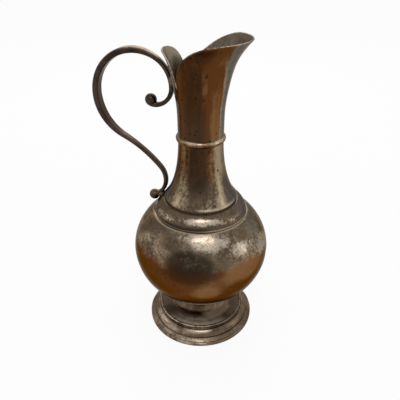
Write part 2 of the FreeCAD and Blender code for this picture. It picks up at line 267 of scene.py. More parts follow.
class Finish(Nodes):
    """A material in the making, on the piece's own coordinates."""

    def __init__(self, name):
        self.material = bpy.data.materials.new(name)
        self.material.use_nodes = True
        self.colour = "grey"
        super().__init__(self.material.node_tree)
        self.place = self.node("ShaderNodeTexCoord", output="Object")
        along = self.node("ShaderNodeSeparateXYZ", inputs={0: self.place}, output="X")
        self.x = along * (1 / MM)
        self.z = along.other("Z") * (1 / MM)

    @functools.cached_property
    def level(self):
        """The piece's coordinates with no height."""
        return self.stretched(1.0, 1.0, 0.0)

    @functools.cached_property
    def outward(self):
        """The level way out from the axis."""
        return self.vector("NORMALIZE", self.level)

    @functools.cached_property
    def radius(self):
        """Distance from the axis."""
        return self.vector("LENGTH", self.level, output="Value") * (1 / MM)

    def stretched(self, x, y, z):
        """The piece's coordinates, each times a factor."""
        return self.vector("MULTIPLY", self.place, (x, y, z))

    def noise(self, scale, detail=4.0, rough=0.55, place=None, seed=0.0):
        """Cloudy noise that runs from 0 to 1."""
        raw = self.node("ShaderNodeTexNoise", {"noise_dimensions": "4D"},
                        {"Vector": place or self.place, "W": seed, "Scale": scale,
                         "Detail": detail, "Roughness": rough})
        return raw.step(0.28, 0.72)

    def clouds(self, scale, seed, rough=0.6):
        """Soft patches."""
        return self.noise(scale, 5.0, rough, seed=seed)

    def specks(self, seed, scale=430.0, rough=0.8):
        """Fine grain."""
        return self.noise(scale, 4.0, rough, seed=seed)

    def pepper(self, seed):
        """Sparse dots, finer than the grain."""
        return self.noise(850.0, 2.0, 0.6, seed=seed).step(0.60, 0.90)

    def streaks(self, across, rough, seed):
        """Upright streaks."""
        return self.noise(1.0, 4.0, rough, self.stretched(across, across, 14.0), seed)

    def pits(self, scale, size, rare, seed=0.0):
        """1 in small round pits, which only a rare share of the cells holds."""
        moved = self.vector("ADD", self.place, (seed, 0.0, 0.0))
        cells = self.node("ShaderNodeTexVoronoi", inputs={"Vector": moved, "Scale": scale}, output="Distance")
        chance = self.node("ShaderNodeSeparateColor", inputs={0: cells.other("Color")})
        ragged = cells + uneven((self.noise(900.0, seed=seed), 0.12))
        return ragged.step(size, size * 0.4) * chance.step(rare + 0.02, rare)

    def coat(self, share, colour):
        """Covers the colour so far with another, by a share."""
        self.colour = self.mix(share, self.colour, colour)

    def pitted(self, pits):
        """Darkens the colour so far in its pits."""
        self.coat(pits * 0.85, "pit")

    def spot(self, x, y, z, wide, tall):
        """1 at a point of the piece, and down to 0 as far as wide to its sides and tall above and below."""
        away = self.vector("SUBTRACT", self.place, (x * MM, y * MM, z * MM))
        scaled = self.vector("MULTIPLY", away, (1 / wide / MM, 1 / wide / MM, 1 / tall / MM))
        return self.vector("LENGTH", scaled, output="Value").step(1.0, 0.25)

    def side(self, degrees):
        """Cosine of the angle round the axis from that way; 0 is the lip and -90 the front."""
        way = math.radians(degrees)
        return self.vector("DOT_PRODUCT", self.outward, (math.cos(way), math.sin(way), 0.0), output="Value")

    def facing(self, degrees, width, soft):
        """1 on the side that faces that way, out to the share soft of a width, and 0 beyond the width."""
        return self.side(degrees).step(math.cos(math.radians(width)), math.cos(math.radians(width * soft)))

    def both(self, degrees, width, soft):
        """Facing that way and its mirror image across the plane through lip and handle."""
        return self.facing(-degrees, width, soft) + self.facing(degrees, width, soft)

    def twice(self, degrees, width, soft):
        """Facing that way and the opposite one."""
        return self.facing(degrees, width, soft) + self.facing(degrees + 180.0, width, soft)

    def attribute(self, name):
        """A value that the mesh carries."""
        return self.node("ShaderNodeAttribute", {"attribute_name": name}, output="Fac")

    def done(self, roughness, height, depth=0.2, sheen=(0.52, 0.49, 0.47), metal=1.0):
        """Feeds the shader and gives the material; sheen is how bright it is seen from its edge."""
        bump = self.node("ShaderNodeBump", inputs={"Height": height, "Strength": 1.0, "Distance": depth * MM})
        values = {"Base Color": self.colour, "Roughness": roughness, "Normal": bump, "Metallic": metal,
                  "Specular Tint": sheen}
        for name, value in values.items():
            self.feed(self.tree.nodes["Principled BSDF"].inputs[name], value)
        return self.material


def uneven(*layers):
    """The sum of some noises, each moved to lie round 0 and times its weight."""
    first, *rest = [(noise - 0.5) * weight for noise, weight in layers]
    return sum(rest, first)


def bowl_upper(f, patches, specks, wander):
    """The bowl's colour above its brown, with silver wear and painted highlights, painted dark and bluish
    reflections, and a painted pale reflection at its right edge.
    """
    f.colour = f.mix((wander + 0.5).step(0.15, 1.0), f.mix(patches, "soot", "grey"), "gold")
    # Silver patches: partly wear and partly painted highlights at set places, with copies on the far sides.
    wear_and_highlight = (f.spot(13, -43, 108.5, 26, 9) + f.spot(-28, -40.5, 104, 12, 8) * 0.35
             + f.spot(-4, -39.5, 111.8, 16, 6) * 0.35 + f.spot(26.5, -38, 104.5, 15, 9) * 0.40
             + f.spot(41, -29.5, 100.8, 18, 9) * 0.8 + f.spot(0, 45, 107, 30, 10)
             + f.spot(-44, 18, 105, 20, 10) * 0.7)
    f.coat((wear_and_highlight + wander * 1.2).step(0.25, 1.10), "silver")
    f.coat(f.pepper(9.0) * 0.5, "soot")
    # Painted dark reflections: soot patches that darken the bowl beside and between its highlights.
    dull = (f.spot(-3, -46.5, 104, 17, 9.5) + f.spot(12, 45.5, 104.5, 14, 13)
            + f.spot(-30, -31, 110, 18, 10) * 0.9 + f.spot(-17, -41, 107.5, 14, 11) * 0.7
            + f.spot(-40, -26, 103.5, 11, 10) * 0.6 + f.spot(40, -22, 107, 13, 8) * 0.7)
    f.coat((dull + wander * 0.5).step(0.2, 0.9) * 0.75, "soot")
    # A painted dark reflection at the front, with copies like it behind; the tarnish colour below is the
    # colour of this painted reflection.
    front = f.spot(5, -52.5, 92.5, 30, 18).sum("MAXIMUM", f.spot(26, -47, 94, 27, 11) * 0.45)
    behind = f.spot(30, 45, 95.5, 36, 15) + f.spot(-51, 12, 96, 32, 14)
    dark_reflection = (front + behind + wander * 0.40).step(0.22, 0.75)
    tarnish = f.mix((specks * 0.5 + patches * 0.5).step(0.55, 1.0), "grime", "soot")
    f.coat(dark_reflection * 0.9, tarnish)
    f.coat(f.z.step(108.5, 112.2) * patches * 0.5, "soot")
    # A painted highlight along the ledge under the band.
    f.coat(f.z.step(112.7, 113.2) * 0.8, "gold")
    # A painted bluish reflection in slate on the upper bowl.
    bluish_reflection = (f.facing(12, 40, 0.3) + f.facing(160, 40, 0.3)) * f.z.step(97, 106)
    f.coat(bluish_reflection * patches.step(0.1, 0.8) * 0.7, "slate")
    # A painted pale reflection at the bowl's right edge, with a weaker copy on the far side; it also lifts
    # the edge of the brown.
    pale_edge_reflection = f.spot(54.5, -6, 91.5, 20, 12) + f.spot(-46, 30, 91.5, 20, 12) * 0.5
    f.coat((pale_edge_reflection + wander * 0.9).step(0.15, 1.0) * 0.75, "silver")
    return f.colour, dark_reflection, pale_edge_reflection


def bowl_lower(f, patches, specks, wander):
    """The bowl's brown, partly tarnish and partly a painted reflection of a brown surface below, with painted
    dark reflections at front and back and a painted pale reflection as a line round its bottom.
    """
    # Lighter bronze: random tone, and at set places part of the painted reflection.
    light = (f.noise(24.0, 4.0, 0.5, seed=8.0) * 0.4 + patches * 0.2
             + f.spot(19, -52.5, 68, 17, 9) * 0.6 + f.spot(26, -50.5, 77.5, 22, 12) * 0.35
             + f.spot(46, -30, 88, 30, 20) * 0.95 + f.spot(-30, 47, 76, 30, 14) * 0.40)
    f.colour = f.mix(light.step(0.35, 1.0), "brown", "bronze")
    f.coat(specks.step(0.6, 1.0) * 0.30, "umber")
    # Painted dark reflections: umber and grime darken the brown at front and back.
    shade = f.spot(6, -54.5, 87, 38, 16) + f.spot(-20, 51.5, 86, 42, 16)
    f.coat((shade + wander * 0.35).step(0.15, 1.0) * 0.8, "umber")
    dark = f.spot(3, -54.5, 90.5, 18, 8) + f.spot(-20, 51.5, 90, 18, 8)
    f.coat(dark * 0.7, "grime")
    # A painted pale reflection in a line round the bottom, which is also made less metallic so that it stays
    # pale.
    line = f.twice(-72, 40, 0.3) * f.z.within(42.0, 45.5, 49.0, 53.0)
    f.coat(line * 0.9, "gold")
    return f.colour, line


def bowl_finish():
    """Speckled silver above the belly and warm brown below it, with a ragged edge between; both carry painted
    highlights and reflections besides the metal's own tarnish and wear.
    """
    f = Finish("bowl pewter")
    clouds = f.clouds(38.0, 0.0)
    patches = f.clouds(110.0, 6.0, 0.65)
    specks = f.specks(2.0)
    wander = uneven((clouds, 0.40), (patches, 0.45), (specks, 0.65))
    upper, dark_reflection, pale_edge_reflection = bowl_upper(f, patches, specks, wander)
    lower, line = bowl_lower(f, patches, specks, wander)
    edge = f.z + uneven((f.noise(46.0, 4.0, 0.6, seed=3.0), 7.0), (specks, 4.0)) + pale_edge_reflection * 4.0
    pits = f.pits(150.0, 0.14, 0.10) + f.pits(310.0, 0.20, 0.10, 4.0) * 0.7
    f.colour = f.mix(edge.step(97, 86), upper, lower)
    f.pitted(pits)
    return f.done(0.22 + dark_reflection * 0.10 + specks * 0.06, specks * 0.07 + clouds * 0.10 - pits,
                  sheen=(0.52, 0.47, 0.43), metal=1.0 - line * 0.8)


def neck_finish():
    """Brown above, partly tarnish and partly a painted reflection, worn gold and grey below, in upright
    streaks, with painted pale reflections at set sides and a painted dark reflection at front and back.
    """
    f = Finish("neck pewter")
    streaks = f.streaks(260.0, 0.6, 31.0)
    clouds = f.clouds(60.0, 32.0)
    specks = f.specks(33.0)
    wander = uneven((streaks, 0.55), (clouds, 0.35), (specks, 0.40))
    upper = f.mix((wander + 0.5).step(0.10, 0.95), "umber", "bronze")
    lower = f.mix((wander + 0.5).step(0.15, 0.95), "soot", "grey")
    low = (f.z + uneven((clouds, 15.0))).step(162, 136)
    high = 1.0 - low
    f.colour = f.mix(low, upper, lower)
    # Gold streaks at set sides: speckled wear, and painted pale reflections where they lie.
    wear_and_pale_reflection = f.facing(-114, 22, 0.2) * 1.1 + f.facing(-39, 12, 0.1) * 0.8
    wear_and_pale_reflection = (wear_and_pale_reflection + f.facing(114, 22, 0.2) + f.facing(39, 12, 0.1)) * low
    wear_and_pale_reflection = wear_and_pale_reflection + f.both(54, 28, 0.1) * f.z.step(140, 130) * 0.7 + f.both(28, 18, 0.0) * high * 1.3
    f.coat((wear_and_pale_reflection * 0.58 + wander * 0.5 + uneven((specks, 0.6))).step(0.15, 1.0), "gold")
    # More painted pale reflections and highlights in grey and gold at set sides, the streak at 33 degrees the
    # brightest.
    f.coat(f.both(162, 26, 0.3) * high * 0.6, "grey")
    f.coat(f.both(14, 16, 0.2) * high * 0.6, "gold")
    f.coat(f.both(33, 10, 0.0) * (0.35 + streaks * 0.5), "gold")
    # A painted dark reflection down the front and back.
    dark = f.both(84, 32, 0.15) * (0.10 + f.z.step(127, 150) * 0.90)
    dim = f.mix(low * 0.4 + clouds * 0.3 + 0.4, "umber", "grime")
    f.coat((dark + wander * 0.6).step(0.10, 1.0) * 0.85, dim)
    # A painted bluish reflection in slate.
    bluish_reflection = (f.facing(-4, 24, 0.4) + f.facing(180, 40, 0.4)) * low
    f.coat(bluish_reflection * 0.55, "slate")
    # Painted light: the step under the lip is lightened to grey and made less metallic, so that it shows less
    # dark than its shade.
    groove = f.z.step(126.4, 126.0)
    f.coat(groove * 0.75, "grey")
    # A painted highlight on the lip's edge.
    lip = f.both(42, 42, 0.2) * f.z.within(126.0, 126.4, 127.4, 129.0)
    f.coat(lip * (0.4 + specks * 0.5), "silver")
    pits = f.pits(190.0, 0.20, 0.10, 31.0)
    f.pitted(pits)
    return f.done(0.21 + specks * 0.06, specks * 0.07 + streaks * 0.06 - pits,
                  metal=1.0 - groove * 0.5)


def mouth_finish():
    """Brown at front and back, partly tarnish and partly a painted reflection, with painted dark and pale
    reflections down it, grey at the lip, the tab and inside, and a bright worn rim.
    """
    f = Finish("mouth pewter")
    streaks = f.streaks(300.0, 0.65, 41.0)
    clouds = f.clouds(52.0, 42.0)
    specks = f.specks(43.0)
    wander = uneven((streaks, 0.60), (clouds, 0.40), (specks, 0.35))
    # Painted dark reflection: umber down the front and back; then soot darkens it towards its foot.
    f.colour = f.mix((f.both(92, 35, 0.05) * 0.8 + wander * 0.7).step(0.0, 0.95) * 0.9, "brown", "umber")
    f.coat(f.z.step(214, 182) * 0.35, "soot")
    # Painted pale reflections: lighter bronze at the sides low down, and a painted highlight streak higher
    # up.
    warm = f.both(36, 24, 0.2) * (1.0 - f.z.step(190, 228) * 0.75)
    streak = f.both(68, 8, 0.0) * f.z.within(206, 218, 228, 240)
    f.coat((warm * 0.9 + streak * 0.5 + wander * 0.8).step(0.15, 1.0) * 0.85, "bronze")
    grey = f.mix((streaks * 0.5 + specks * 0.5).step(0.0, 0.75), "slate", "steel")
    lip = f.side(0) + f.z.step(212, 247) * 0.12 + uneven((clouds, 0.03), (streaks, 0.02))
    f.coat(lip.step(0.880, 0.910) * (0.30 + specks * 0.7) * f.z.step(242, 224), "gold")
    f.coat(lip.step(0.925, 0.955) * 0.9, grey)
    f.coat(f.facing(180, 48, 0.7) * 0.9, grey)
    pits = f.pits(210.0, 0.22, 0.40, 41.0) + f.pits(120.0, 0.14, 0.55, 45.0)
    inside = f.attribute("inside")
    dull = f.mix((clouds * 0.5 + specks * 0.5).step(0.0, 0.85), "soot", f.mix(0.5, "steel", "grey"))
    dull = f.mix(f.facing(180, 75, 0.5) * 0.45, dull, "silver")
    f.pitted(pits)
    f.coat(inside, dull)
    worn = (specks * 0.5 + clouds * 0.5).step(0.15, 0.70)
    f.coat(f.attribute("rim") * worn * 0.85, "silver")
    return f.done(0.22 + inside * 0.10 + specks * 0.06, specks * 0.05 + streaks * 0.05 - pits)


def solder_finish(name, seed):
    """Dull grey metal with grime in patches and worn bright specks."""
    f = Finish(name)
    clouds = f.clouds(70.0, seed, 0.62)
    specks = f.specks(seed + 1.0, 420.0, 0.75)
    wander = clouds * 0.75 + specks * 0.25
    f.colour = f.mix(wander.step(0.0, 0.5), "soot", "grey")
    f.coat(wander.step(0.5, 1.0), "silver")
    return f.done(0.42 + specks * 0.08, specks * 0.08 + clouds * 0.12, 0.22)


def ring_finish():
    """Bright crown, partly wear and partly a painted highlight, and brown under it, partly tarnish and partly
    painted shade.
    """
    f = Finish("ring pewter")
    clouds = f.clouds(90.0, 36.0, 0.62)
    specks = f.specks(37.0, 420.0, 0.75)
    wander = uneven((clouds, 0.7), (specks, 0.5))
    middle = (RING[0][2] + RING[1][2]) / 2 / MM
    crown = (f.z - middle).step(-0.2, 1.0)
    f.colour = f.mix((wander + 0.5).step(0.0, 0.8), "umber", "bronze")
    # Gold and silver on the crown: worn metal, and painted highlights at set sides.
    f.coat((crown + wander * 0.9).step(0.1, 1.0) * 0.6, "gold")
    wear_and_highlight = f.facing(-92, 30, 0.2) + f.facing(-30, 16, 0.2) + f.facing(88, 40, 0.2)
    f.coat((crown * (0.45 + wear_and_highlight * 0.35) + wander).step(0.4, 1.0), "silver")
    return f.done(0.20 + specks * 0.08, specks * 0.08 + clouds * 0.12, 0.22)


def foot_finish():
    """Worn grey mouldings with fine turned rings and painted highlights, and a darker brown stem under the
    bowl, where shade is painted.
    """
    f = Finish("foot pewter")
    around = f.radius
    turned = f.node("ShaderNodeCombineXYZ", inputs={"X": around * 0.9, "Y": f.z * 0.9, "Z": f.x * 0.06})
    rings = f.noise(1.0, 4.0, 0.6, turned, 11.0)
    clouds = f.clouds(75.0, 12.0, 0.62)
    specks = f.specks(13.0, 400.0, 0.75)
    patches = clouds * 0.6 + specks * 0.4
    wander = uneven((rings, 0.25), (clouds, 0.60), (specks, 0.40))
    front = f.twice(-80, 50, 0.3)
    plate = around.within(23.0, 29.0, 36.2, 37.0)
    f.colour = f.mix((wander + 0.5).step(0.0, 0.60), "soot", "grey")
    f.coat((wander + 0.5).step(0.20, 0.95), "rose")
    f.coat(plate * 0.9, f.mix(patches.step(0.1, 0.9), "soot", "grey"))
    # Painted shade: umber on the plate at its sides, as dark reflections of the bowl.
    f.coat(plate * f.twice(-152, 50, 0.3) * 0.65, "umber")
    # Painted highlight with some wear: the plate's front and back made silver, and partly diffuse.
    worn = around.step(24.0, 29.0) * patches * 0.8 + around.step(31.5, 34.5) * 0.7
    f.coat(plate * front * worn, "silver")
    # Painted highlights on the mouldings, partly wear.
    wear_and_highlight = (f.spot(10, -38.5, 11.5, 22, 3) + f.spot(4, -45.5, 3, 22, 3) + f.spot(-30, -26, 11, 16, 3)
             + f.spot(-18, -39.5, 7, 20, 6) + f.spot(0, 39.5, 11.5, 30, 3))
    f.coat((wear_and_highlight * 0.7 + wander * 0.8).step(0.20, 1.0) * 0.9, "silver")
    # The lip's edge in silver, worn, and a painted highlight at front and back.
    lip = around.within(36.3, 37.1, 37.9, 38.7) * f.z.step(13.4, 14.0) * (0.35 + front * 0.65)
    f.coat(lip * (clouds * 0.7 + specks * 0.3).step(0.15, 0.60), "silver")
    # Painted shade: the moulding darkened at its sides and along its underside at front and back, as dark
    # reflections.
    dull = (f.facing(-14, 64, 0.5) + f.facing(-172, 36, 0.4)) * around.step(36.5, 37.5)
    dull = dull + f.spot(13, -40.5, 7.8, 26, 3) + f.spot(-13, 40.5, 7.8, 26, 3)
    f.coat((dull + wander * 0.4).step(0.1, 0.8) * 0.75, f.mix(patches, "soot", "grey"))
    corner = around.within(37.7, 38.2, 39.0, 39.5) * f.z.within(11.3, 11.8, 12.6, 13.2)
    groove = around.within(41.9, 42.4, 43.2, 43.7) * f.z.step(6.4, 5.8)
    hollows = (corner + groove) * 0.5
    f.coat(hollows, f.mix(patches, "grime", "grey"))
    # Painted shade on the stem under the bowl, with a painted dark reflection upright at front and back.
    stem = f.mix(clouds * 0.4 + 0.35 - f.twice(-80, 20, 0.3) * 0.7, "umber", "grey")
    f.coat(around.step(26.0, 22.5) * 0.8, stem)
    # A painted pale reflection in rose on the sides of the cove, made partly diffuse.
    cove = f.twice(-40, 40, 0.3) * around.within(20.5, 22.5, 28.0, 31.0)
    f.coat(cove * 0.8, "rose")
    # A painted highlight on the bead, in silver and partly diffuse.
    bead = f.z.step(24.0, 24.4)
    f.coat(bead * patches, "silver")
    metal = (1.0 - plate * (0.4 + front * 0.4)).sum("MINIMUM", 1.0 - cove * 0.8) - (bead + hollows) * 0.5
    return f.done(0.19 + specks * 0.09 + plate * 0.14,
                  specks * 0.08 + rings * 0.06 + clouds * 0.12, 0.25, metal=metal)


def band_finish():
    """Dull grey with bright worn specks and painted highlights round its crown, and painted dark reflections
    under it.
    """
    f = Finish("band pewter")
    clouds = f.clouds(60.0, 21.0, 0.62)
    specks = f.specks(22.0)
    wander = uneven((clouds, 0.5), (specks, 0.75))
    f.colour = f.mix((wander + 0.5).step(-0.1, 0.9), "soot", "grey")
    # Painted highlights round the crown and on the flanks, speckled like wear.
    crown = f.z.within(116.3, 118.8, 121.1, 123.0)
    flanks = (f.both(125, 26, 0.3) + f.facing(-40, 24, 0.3)) * f.z.within(115.0, 116.6, 119.0, 121.5)
    wear_and_highlight = f.spot(10.5, -33, 120.6, 20, 3.2) + f.spot(0, 34.5, 121.3, 20, 3.5)
    wear_and_highlight = wear_and_highlight + crown * 0.28 + flanks * 0.38
    f.coat((wear_and_highlight + wander * 1.2).step(0.38, 1.15), "silver")
    f.coat(f.pepper(23.0) * 0.5, "soot")
    # A painted dark reflection under the crown at front and back.
    dark = f.facing(-100, 46, 0.2) + f.facing(90, 50, 0.2)
    f.coat((dark + wander * 0.5).step(0.1, 0.9) * f.z.step(118.3, 115.5) * 0.85, "grime")
    # A painted bluish reflection in slate.
    bluish_reflection = f.facing(12, 40, 0.3) + f.facing(160, 40, 0.3)
    f.coat(bluish_reflection * 0.5, "slate")
    # A painted pale line along the band's foot, made partly diffuse, weaker where the painted dark reflection
    # lies.
    edge = (1.0 - dark * 0.7) * f.z.step(115.0, 114.3)
    f.coat(edge * 0.7, "silver")
    # Painted light: the band's top, in the recess under the neck's lip, is lightened to grey and made less
    # metallic.
    top = f.radius.step(30.5, 29.8)
    f.coat(top * 0.8, "grey")
    return f.done(0.22 + specks * 0.08, specks * 0.07 + clouds * 0.1,
                  metal=1.0 - top * 0.5 - edge * 0.6)


def handle_finish():
    """Dark cast metal, smooth, with painted light from above: lighter on the faces that look up, and a
    painted gold highlight on top of the arc.
    """
    f = Finish("handle pewter")
    clouds = f.clouds(80.0, 51.0)
    specks = f.specks(52.0, 420.0, 0.75)
    wander = clouds * 0.8 + specks * 0.2
    f.colour = f.mix(wander.step(0.0, 0.8), "grime", "cast")
    # Painted light from above: faces that look up are lighter grey, and the top of the arc has a painted gold
    # highlight.
    normal = f.node("ShaderNodeNewGeometry", output="Normal")
    up = f.node("ShaderNodeSeparateXYZ", inputs={0: normal}, output="Z")
    f.coat(up.step(0.25, 0.95) * (0.2 + wander * 0.6), "grey")
    worn = up.step(0.50, 0.95) * f.z.step(218, 232) * wander.step(0.0, 0.7)
    f.coat(worn * 0.6, "gold")
    return f.done(0.24 + specks * 0.08, specks * 0.05 + clouds * 0.10, sheen=(0.8, 0.75, 0.7))


# Outlines: points are (radius, height) in metres

HALF_ROUND = 0.999
SEAM = 0.04 * MM
SHARP = 0.6


def arc(start, end, bulge, count):
    """Points after start on the arc to end that bulges to the right of that way."""
    chord = complex(*end) - complex(*start)
    half = abs(chord) / 2
    radius = (half * half + bulge * bulge) / (2 * bulge)
    middle = (complex(*start) + complex(*end)) / 2 + 1j * chord / abs(chord) * (radius - bulge)
    spoke = complex(*start) - middle
    sweep = 2 * math.atan2(half, radius - bulge)
    points = [middle + spoke * cmath.exp(1j * sweep * step / count) for step in range(1, count + 1)]
    return [(point.real, point.imag) for point in points]


def hollow(start, end, count):
    """Points after start on a quarter of a circle that is hollow towards the outside."""
    angles = [math.pi / 2 * step / count for step in range(1, count + 1)]
    return [(start[0] + (end[0] - start[0]) * math.sin(angle),
             start[1] + (end[1] - start[1]) * (1 - math.cos(angle))) for angle in angles]


def quarter(radius, up, height, low, high, count):
    """Points of the bowl's ellipse between two heights; up is its half height, below 0 if it hangs."""
    first, last = (math.asin(min(1.0, (end - height) / up)) for end in (low, high))
    angles = [first + (last - first) * step / count for step in range(count + 1)]
    return [(radius * math.cos(angle), height + up * math.sin(angle)) for angle in angles]


def soften(points, rounding, sharpest=0.35, count=5):
    """A closed outline whose corners that bend more than sharpest are rounded off."""
    longest = 0.45
    result = []
    for index, point in enumerate(points):
        here = complex(*point)
        back = complex(*points[index - 1]) - here
        ahead = complex(*points[(index + 1) % len(points)]) - here
        bend = abs(cmath.phase(-ahead / back))
        if bend < sharpest or point[0] < TOUCH:
            result.append(point)
            continue
        cut = min(rounding * math.tan(bend / 2), abs(back) * longest, abs(ahead) * longest)
        start = here + back / abs(back) * cut
        end = here + ahead / abs(ahead) * cut
        for step in range(count + 1):
            along = step / count
            spot = (1 - along) ** 2 * start + 2 * along * (1 - along) * here + along ** 2 * end
            result.append((spot.real, spot.imag))
    return result


def spread(points, gap):
    """A closed outline with more points on its long runs."""
    result = []
    for start, end in zip(points, points[1:] + points[:1]):
        count = max(1, math.ceil(math.dist(start, end) / gap))
        for step in range(count):
            along = step / count
            result.append((start[0] + (end[0] - start[0]) * along, start[1] + (end[1] - start[1]) * along))
    return result


def foot_outline(size):
    """The stepped foot and its stem, outside and then inside."""
    radius = FOOT[1][0]
    top = FOOT[1][2]
    rim_round = 1.3 * MM
    rim_bulge = 0.38 * MM
    bore_slant = 0.8 * MM
    collar = size.stem_radius + size.collar
    plate = size.lip_height - size.plate_drop
    cove = size.plate_radius - size.stem_radius
    half_lip = size.lip_width / 2
    lip_side = size.lip_height - half_lip
    lip_inside = size.lip_radius - size.lip_width
    points = [(radius, 0.0), (radius, size.rim_height - rim_round)]
    points += arc(points[-1], (radius - rim_round, size.rim_height), rim_bulge, 8)
    points.append((size.groove_radius, size.groove_height))
    points += arc(points[-1], (size.moulding_radius, size.moulding_height), size.moulding_bulge, 16)
    points += [(size.lip_radius, size.moulding_height), (size.lip_radius, lip_side)]
    points += arc(points[-1], (lip_inside, lip_side), half_lip * HALF_ROUND, 12)
    points.append((size.plate_radius, plate))
    points += hollow(points[-1], (size.stem_radius, plate + cove), 14)
    bead = size.bead_radius
    points.append((collar, size.bead_height - bead))
    points += arc(points[-1], (collar, size.bead_height + bead), bead * HALF_ROUND, 12)
    points += [(collar, SOLDER[0][2]), (collar, top)]
    wall = size.wall
    bore = size.stem_radius - wall
    under = plate - wall
    points += [(bore, top - bore_slant), (bore, under + cove), (size.plate_radius - wall, under),
               (lip_inside - wall, under),
               (size.moulding_radius - wall, size.moulding_height - wall),
               (size.groove_radius - wall, size.groove_height - wall),
               (radius - wall, size.rim_height - wall), (radius - wall, 0.0)]
    return points


def lower_bowl_outline(size):
    """The bowl below the seam at its belly, outside and then inside."""
    radius = LOWER_BOWL[1][0]
    low = LOWER_BOWL[0][2]
    belly = LOWER_BOWL[1][2]
    depth = belly - low
    wall = size.bowl_wall
    outside = quarter(radius, -depth, belly, belly, low, 64)
    inside = quarter(radius - wall, wall - depth, belly, belly, low + wall, 40)
    outside[-1] = (0.0, outside[-1][1])
    inside[-1] = (0.0, inside[-1][1])
    outside.insert(1, (radius, belly - SEAM))
    return outside + inside[::-1]


def upper_bowl_outline(size):
    """The bowl above the seam at its belly, outside and then inside."""
    radius = UPPER_BOWL[1][0]
    belly = UPPER_BOWL[0][2]
    top = UPPER_BOWL[1][2]
    shelf = 1.1 * MM
    rise = (top - belly) / math.sqrt(1 - ((BAND[1][0] + shelf) / radius) ** 2)
    wall = size.bowl_wall
    outside = quarter(radius, rise, belly, belly, top, 56)
    inside = quarter(radius - wall, rise - wall, belly, belly, top, 36)
    outside.insert(1, (radius, belly + SEAM))
    return outside + inside[::-1]


def band_outline(size):
    """The convex band, with a flat top that carries the neck."""
    low = (BAND[1][0], BAND[0][2])
    top = (size.band_top, BAND[1][2])
    inner_top = (NECK[1][0] - size.neck_inset - size.neck_wall, top[1])
    inner_low = (low[0] - size.band_wall, low[1])
    return [low] + arc(low, top, size.band_bulge, 28) + [inner_top, inner_low]


def neck_side(size, lip, throat, low, high, count):
    """The neck's concave side, from its lip to its throat."""
    upright = 2.0 * MM
    first = complex(lip, low)
    second = first + size.neck_pull * complex(-math.cos(size.neck_angle), math.sin(size.neck_angle))
    third = complex(throat, high - upright)
    last = complex(throat, high)
    points = []
    for step in range(count + 1):
        t = step / count
        spot = (1 - t) ** 3 * first + 3 * (1 - t) ** 2 * t * second
        spot += 3 * (1 - t) * t * t * third + t ** 3 * last
        points.append((spot.real, spot.imag))
    return points


def neck_outline(size):
    """The neck with its stepped lip, outside and then inside."""
    foot = NECK[0][2]
    top = NECK[1][2]
    lip = NECK[1][0]
    step = lip - size.neck_inset
    lip_low = foot + size.neck_step
    lip_top = lip_low + size.neck_lip
    land = top - (RING[1][2] - RING[0][2])
    bore = size.neck_throat - size.neck_wall
    points = [(step - size.neck_wall, foot), (step, foot), (step, lip_low), (lip, lip_low)]
    points += neck_side(size, lip, size.neck_throat, lip_top, land, 48)
    points += [(size.neck_throat, top), (bore, top)]
    points += neck_side(size, step - size.neck_wall, bore, lip_low, land, 24)[::-1]
    return points


def ring_outline(size):
    """The half-round ring, flat against the neck."""
    half = (RING[1][2] - RING[0][2]) / 2
    low = (size.neck_throat, RING[0][2])
    high = (size.neck_throat, RING[1][2])
    return [low] + arc(low, high, min(RING[1][0] - size.neck_throat, half * HALF_ROUND), 20)


def solder_outline():
    """The bead of solder in the corner between stem and bowl."""
    width = 2.4 * MM
    knee_out = 1.3 * MM
    knee_up = 1.9 * MM
    low = (SOLDER[1][0] - width, SOLDER[0][2])
    wide = (SOLDER[1][0], SOLDER[1][2])
    return [low, (low[0] + knee_out, low[1] + knee_up), wide, (low[0], SOLDER[1][2])]


# Geometry Nodes

class Tree(Nodes):
    """A geometry node tree in the making."""

    def __init__(self, name, inputs):
        super().__init__(bpy.data.node_groups.new(name, "GeometryNodeTree"))
        face = self.tree.interface
        face.new_socket(name="Geometry", in_out="INPUT", socket_type="NodeSocketGeometry")
        self.names = {}
        for label, kind in inputs.items():
            socket = face.new_socket(name=label, in_out="INPUT", socket_type="NodeSocket" + kind)
            self.names[label] = socket.identifier
        face.new_socket(name="Geometry", in_out="OUTPUT", socket_type="NodeSocketGeometry")
        first = self.node("NodeGroupInput")
        self.given = {label: first.other(label) for label in ("Geometry", *inputs)}

    def finish(self, geometry):
        """Shades smooth, realises, sets the material and ends the tree."""
        smooth = self.node("GeometryNodeSetShadeSmooth", inputs={"Geometry": geometry})
        real = self.node("GeometryNodeRealizeInstances", inputs={"Geometry": smooth})
        dressed = self.node("GeometryNodeSetMaterial",
                            inputs={"Geometry": real, "Material": self.given["Material"]})
        self.feed(self.tree.nodes.new("NodeGroupOutput").inputs[0], dressed)

    def run(self, name, carrier, values):
        """Runs the tree on a carrier mesh and gives the result as a plain object."""
        source = bpy.data.objects.new(name + "_path", carrier)
        bpy.context.scene.collection.objects.link(source)
        modifier = source.modifiers.new(self.tree.name, "NODES")
        modifier.node_group = self.tree
        for label, value in values.items():
            modifier[self.names[label]] = value
        depsgraph = bpy.context.evaluated_depsgraph_get()
        mesh = bpy.data.meshes.new_from_object(source.evaluated_get(depsgraph))
        bpy.data.objects.remove(source)
        return placed(name, mesh)


CORE = 10 * MM
TRUE_BELOW = 0.5 * MM
DENTED_ABOVE = 3 * MM


